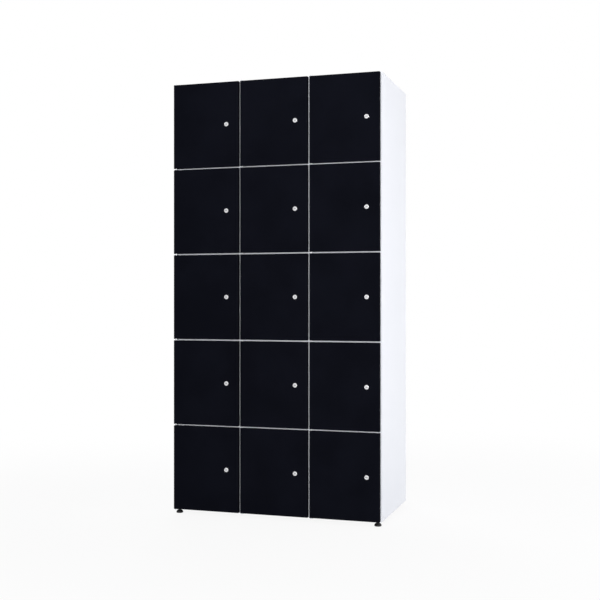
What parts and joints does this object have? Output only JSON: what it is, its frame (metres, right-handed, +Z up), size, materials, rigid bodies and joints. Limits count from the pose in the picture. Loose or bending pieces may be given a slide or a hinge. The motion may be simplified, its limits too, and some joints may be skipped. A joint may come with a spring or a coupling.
{
  "type": "metal locker cabinet",
  "caption": "Tall white sheet-steel locker cabinet with a grid of flush black doors, each hung on pin hinges and shut by a cam lock, on screw-in levelling feet.",
  "frame": {"origin": "on the floor, in the middle of the outline, lock faces included", "axes": "+X to the right as seen from the doors, +Y from the doors to the back, +Z up"},
  "size_m": [0.9, 0.5024, 1.8166],
  "materials": {
    "white_paint": "satin powder coat",
    "black_paint": "satin powder coat",
    "lock_chrome": "polished",
    "lock_steel": "satin",
    "pin_steel": "zinc plated",
    "bumper_rubber": "matt",
    "foot_plastic": "moulded"
  },
  "bodies": {
    "cabinet": {"left_side": "white_paint", "right_side": "white_paint", "top_panel": "white_paint", "base_panel": "white_paint", "back_panel": "white_paint", "partition_left": "white_paint", "partition_right": "white_paint", "shelves": "white_paint", "front_frame": "white_paint", "hinge_pins": "pin_steel", "door_bumpers": "bumper_rubber"},
    "door_leaf_r1c1": {"door_r1c1": "black_paint", "lock_body_r1c1": "lock_chrome"},
    "door_leaf_r1c2": {"door_r1c2": "black_paint", "lock_body_r1c2": "lock_chrome"},
    "door_leaf_r1c3": {"door_r1c3": "black_paint", "lock_body_r1c3": "lock_chrome"},
    "door_leaf_r2c1": {"door_r2c1": "black_paint", "lock_body_r2c1": "lock_chrome"},
    "door_leaf_r2c2": {"door_r2c2": "black_paint", "lock_body_r2c2": "lock_chrome"},
    "door_leaf_r2c3": {"door_r2c3": "black_paint", "lock_body_r2c3": "lock_chrome"},
    "door_leaf_r3c1": {"door_r3c1": "black_paint", "lock_body_r3c1": "lock_chrome"},
    "door_leaf_r3c2": {"door_r3c2": "black_paint", "lock_body_r3c2": "lock_chrome"},
    "door_leaf_r3c3": {"door_r3c3": "black_paint", "lock_body_r3c3": "lock_chrome"},
    "door_leaf_r4c1": {"door_r4c1": "black_paint", "lock_body_r4c1": "lock_chrome"},
    "door_leaf_r4c2": {"door_r4c2": "black_paint", "lock_body_r4c2": "lock_chrome"},
    "door_leaf_r4c3": {"door_r4c3": "black_paint", "lock_body_r4c3": "lock_chrome"},
    "door_leaf_r5c1": {"door_r5c1": "black_paint", "lock_body_r5c1": "lock_chrome"},
    "door_leaf_r5c2": {"door_r5c2": "black_paint", "lock_body_r5c2": "lock_chrome"},
    "door_leaf_r5c3": {"door_r5c3": "black_paint", "lock_body_r5c3": "lock_chrome"},
    "levelling_foot_front_left": {"foot_front_left": "foot_plastic"},
    "levelling_foot_front_right": {"foot_front_right": "foot_plastic"},
    "levelling_foot_rear_left": {"foot_rear_left": "foot_plastic"},
    "levelling_foot_rear_right": {"foot_rear_right": "foot_plastic"},
    "lock_cylinder_r1c1": {"lock_plug_r1c1": "lock_steel"},
    "lock_cylinder_r1c2": {"lock_plug_r1c2": "lock_steel"},
    "lock_cylinder_r1c3": {"lock_plug_r1c3": "lock_steel"},
    "lock_cylinder_r2c1": {"lock_plug_r2c1": "lock_steel"},
    "lock_cylinder_r2c2": {"lock_plug_r2c2": "lock_steel"},
    "lock_cylinder_r2c3": {"lock_plug_r2c3": "lock_steel"},
    "lock_cylinder_r3c1": {"lock_plug_r3c1": "lock_steel"},
    "lock_cylinder_r3c2": {"lock_plug_r3c2": "lock_steel"},
    "lock_cylinder_r3c3": {"lock_plug_r3c3": "lock_steel"},
    "lock_cylinder_r4c1": {"lock_plug_r4c1": "lock_steel"},
    "lock_cylinder_r4c2": {"lock_plug_r4c2": "lock_steel"},
    "lock_cylinder_r4c3": {"lock_plug_r4c3": "lock_steel"},
    "lock_cylinder_r5c1": {"lock_plug_r5c1": "lock_steel"},
    "lock_cylinder_r5c2": {"lock_plug_r5c2": "lock_steel"},
    "lock_cylinder_r5c3": {"lock_plug_r5c3": "lock_steel"}
  },
  "joints": [
    {"name": "door_hinge_r1c1", "type": "hinge", "parent": "cabinet", "child": "door_leaf_r1c1", "pos_m": [-0.4395, -0.23875, 1.63628], "axis": [0, 0, -1], "range_deg": [0, 105]},
    {"name": "door_hinge_r1c2", "type": "hinge", "parent": "cabinet", "child": "door_leaf_r1c2", "pos_m": [-0.1395, -0.23875, 1.63628], "axis": [0, 0, -1], "range_deg": [0, 105]},
    {"name": "door_hinge_r1c3", "type": "hinge", "parent": "cabinet", "child": "door_leaf_r1c3", "pos_m": [0.1605, -0.23875, 1.63628], "axis": [0, 0, -1], "range_deg": [0, 105]},
    {"name": "door_hinge_r2c1", "type": "hinge", "parent": "cabinet", "child": "door_leaf_r2c1", "pos_m": [-0.4395, -0.23875, 1.27644], "axis": [0, 0, -1], "range_deg": [0, 105]},
    {"name": "door_hinge_r2c2", "type": "hinge", "parent": "cabinet", "child": "door_leaf_r2c2", "pos_m": [-0.1395, -0.23875, 1.27644], "axis": [0, 0, -1], "range_deg": [0, 105]},
    {"name": "door_hinge_r2c3", "type": "hinge", "parent": "cabinet", "child": "door_leaf_r2c3", "pos_m": [0.1605, -0.23875, 1.27644], "axis": [0, 0, -1], "range_deg": [0, 105]},
    {"name": "door_hinge_r3c1", "type": "hinge", "parent": "cabinet", "child": "door_leaf_r3c1", "pos_m": [-0.4395, -0.23875, 0.9166], "axis": [0, 0, -1], "range_deg": [0, 105]},
    {"name": "door_hinge_r3c2", "type": "hinge", "parent": "cabinet", "child": "door_leaf_r3c2", "pos_m": [-0.1395, -0.23875, 0.9166], "axis": [0, 0, -1], "range_deg": [0, 105]},
    {"name": "door_hinge_r3c3", "type": "hinge", "parent": "cabinet", "child": "door_leaf_r3c3", "pos_m": [0.1605, -0.23875, 0.9166], "axis": [0, 0, -1], "range_deg": [0, 105]},
    {"name": "door_hinge_r4c1", "type": "hinge", "parent": "cabinet", "child": "door_leaf_r4c1", "pos_m": [-0.4395, -0.23875, 0.55676], "axis": [0, 0, -1], "range_deg": [0, 105]},
    {"name": "door_hinge_r4c2", "type": "hinge", "parent": "cabinet", "child": "door_leaf_r4c2", "pos_m": [-0.1395, -0.23875, 0.55676], "axis": [0, 0, -1], "range_deg": [0, 105]},
    {"name": "door_hinge_r4c3", "type": "hinge", "parent": "cabinet", "child": "door_leaf_r4c3", "pos_m": [0.1605, -0.23875, 0.55676], "axis": [0, 0, -1], "range_deg": [0, 105]},
    {"name": "door_hinge_r5c1", "type": "hinge", "parent": "cabinet", "child": "door_leaf_r5c1", "pos_m": [-0.4395, -0.23875, 0.19692], "axis": [0, 0, -1], "range_deg": [0, 105]},
    {"name": "door_hinge_r5c2", "type": "hinge", "parent": "cabinet", "child": "door_leaf_r5c2", "pos_m": [-0.1395, -0.23875, 0.19692], "axis": [0, 0, -1], "range_deg": [0, 105]},
    {"name": "door_hinge_r5c3", "type": "hinge", "parent": "cabinet", "child": "door_leaf_r5c3", "pos_m": [0.1605, -0.23875, 0.19692], "axis": [0, 0, -1], "range_deg": [0, 105]},
    {"name": "foot_turn_front_left", "type": "hinge", "parent": "cabinet", "child": "levelling_foot_front_left", "pos_m": [-0.432, -0.21775, 0.0166], "axis": [0, 0, 1], "continuous": true},
    {"name": "foot_turn_front_right", "type": "hinge", "parent": "cabinet", "child": "levelling_foot_front_right", "pos_m": [0.432, -0.21775, 0.0166], "axis": [0, 0, 1], "continuous": true},
    {"name": "foot_turn_rear_left", "type": "hinge", "parent": "cabinet", "child": "levelling_foot_rear_left", "pos_m": [-0.416, 0.22825, 0.0166], "axis": [0, 0, 1], "continuous": true},
    {"name": "foot_turn_rear_right", "type": "hinge", "parent": "cabinet", "child": "levelling_foot_rear_right", "pos_m": [0.416, 0.22825, 0.0166], "axis": [0, 0, 1], "continuous": true},
    {"name": "lock_turn_r1c1", "type": "hinge", "parent": "door_leaf_r1c1", "child": "lock_cylinder_r1c1", "pos_m": [-0.207, -0.25125, 1.63628], "axis": [0, -1, 0], "range_deg": [0, 90]},
    {"name": "lock_turn_r1c2", "type": "hinge", "parent": "door_leaf_r1c2", "child": "lock_cylinder_r1c2", "pos_m": [0.093, -0.25125, 1.63628], "axis": [0, -1, 0], "range_deg": [0, 90]},
    {"name": "lock_turn_r1c3", "type": "hinge", "parent": "door_leaf_r1c3", "child": "lock_cylinder_r1c3", "pos_m": [0.393, -0.25125, 1.63628], "axis": [0, -1, 0], "range_deg": [0, 90]},
    {"name": "lock_turn_r2c1", "type": "hinge", "parent": "door_leaf_r2c1", "child": "lock_cylinder_r2c1", "pos_m": [-0.207, -0.25125, 1.27644], "axis": [0, -1, 0], "range_deg": [0, 90]},
    {"name": "lock_turn_r2c2", "type": "hinge", "parent": "door_leaf_r2c2", "child": "lock_cylinder_r2c2", "pos_m": [0.093, -0.25125, 1.27644], "axis": [0, -1, 0], "range_deg": [0, 90]},
    {"name": "lock_turn_r2c3", "type": "hinge", "parent": "door_leaf_r2c3", "child": "lock_cylinder_r2c3", "pos_m": [0.393, -0.25125, 1.27644], "axis": [0, -1, 0], "range_deg": [0, 90]},
    {"name": "lock_turn_r3c1", "type": "hinge", "parent": "door_leaf_r3c1", "child": "lock_cylinder_r3c1", "pos_m": [-0.207, -0.25125, 0.9166], "axis": [0, -1, 0], "range_deg": [0, 90]},
    {"name": "lock_turn_r3c2", "type": "hinge", "parent": "door_leaf_r3c2", "child": "lock_cylinder_r3c2", "pos_m": [0.093, -0.25125, 0.9166], "axis": [0, -1, 0], "range_deg": [0, 90]},
    {"name": "lock_turn_r3c3", "type": "hinge", "parent": "door_leaf_r3c3", "child": "lock_cylinder_r3c3", "pos_m": [0.393, -0.25125, 0.9166], "axis": [0, -1, 0], "range_deg": [0, 90]},
    {"name": "lock_turn_r4c1", "type": "hinge", "parent": "door_leaf_r4c1", "child": "lock_cylinder_r4c1", "pos_m": [-0.207, -0.25125, 0.55676], "axis": [0, -1, 0], "range_deg": [0, 90]},
    {"name": "lock_turn_r4c2", "type": "hinge", "parent": "door_leaf_r4c2", "child": "lock_cylinder_r4c2", "pos_m": [0.093, -0.25125, 0.55676], "axis": [0, -1, 0], "range_deg": [0, 90]},
    {"name": "lock_turn_r4c3", "type": "hinge", "parent": "door_leaf_r4c3", "child": "lock_cylinder_r4c3", "pos_m": [0.393, -0.25125, 0.55676], "axis": [0, -1, 0], "range_deg": [0, 90]},
    {"name": "lock_turn_r5c1", "type": "hinge", "parent": "door_leaf_r5c1", "child": "lock_cylinder_r5c1", "pos_m": [-0.207, -0.25125, 0.19692], "axis": [0, -1, 0], "range_deg": [0, 90]},
    {"name": "lock_turn_r5c2", "type": "hinge", "parent": "door_leaf_r5c2", "child": "lock_cylinder_r5c2", "pos_m": [0.093, -0.25125, 0.19692], "axis": [0, -1, 0], "range_deg": [0, 90]},
    {"name": "lock_turn_r5c3", "type": "hinge", "parent": "door_leaf_r5c3", "child": "lock_cylinder_r5c3", "pos_m": [0.393, -0.25125, 0.19692], "axis": [0, -1, 0], "range_deg": [0, 90]}
  ]
}
